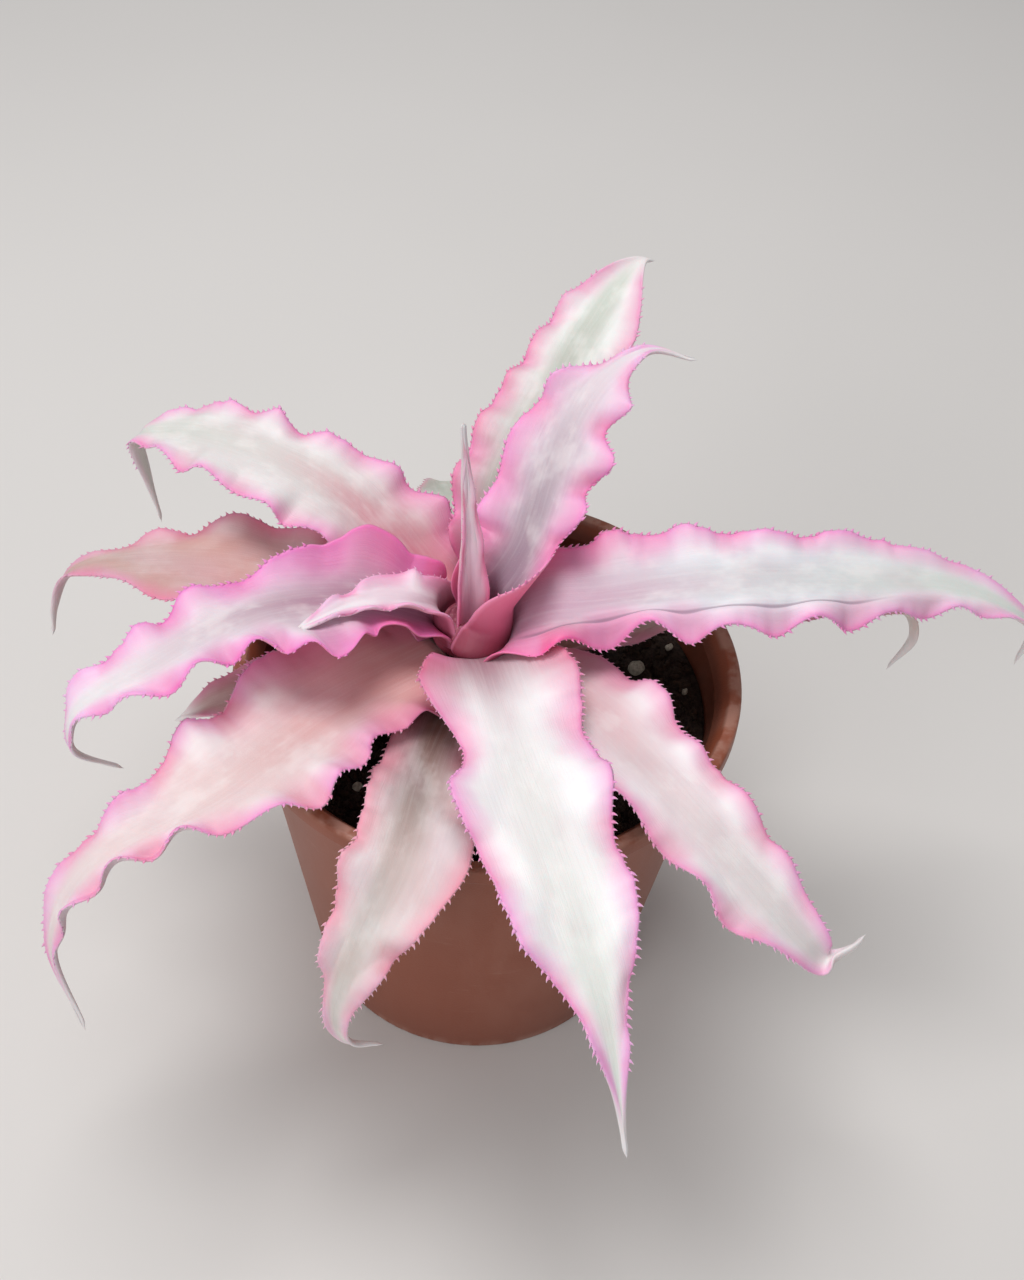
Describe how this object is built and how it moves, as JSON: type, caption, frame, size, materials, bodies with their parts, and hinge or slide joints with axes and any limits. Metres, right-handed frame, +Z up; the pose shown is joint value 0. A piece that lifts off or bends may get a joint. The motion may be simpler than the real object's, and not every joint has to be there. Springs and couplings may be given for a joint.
{
  "type": "potted earth star bromeliad",
  "caption": "Rosette of tapering, wavy-edged, toothed pink and cream leaves on a short stem, growing in soil in a small round tapered plastic pot with an overhanging lip.",
  "frame": {"origin": "centre of the pot's underside, on the surface it stands on", "axes": "+Z up out of the pot; -Y is the front, where the longest front leaf hangs over the lip; +X to the right seen from the front"},
  "size_m": [0.2015, 0.1853, 0.1401],
  "materials": {
    "pot_plastic": "satin",
    "potting_mix": "matte",
    "stem_tissue": "satin",
    "leaf_pink": "satin"
  },
  "bodies": {
    "root": {"pot": "pot_plastic", "soil": "potting_mix", "stem": "stem_tissue", "leaf_front": "leaf_pink", "leaf_front_left": "leaf_pink", "leaf_front_right": "leaf_pink", "leaf_front_low": "leaf_pink", "leaf_right": "leaf_pink", "leaf_right_low": "leaf_pink", "leaf_left": "leaf_pink", "leaf_left_low": "leaf_pink", "leaf_back_left": "leaf_pink", "leaf_back": "leaf_pink", "leaf_back_inner": "leaf_pink", "leaf_left_inner": "leaf_pink", "leaf_left_under": "leaf_pink", "leaf_back_low": "leaf_pink", "leaf_heart": "leaf_pink"}
  },
  "joints": []
}
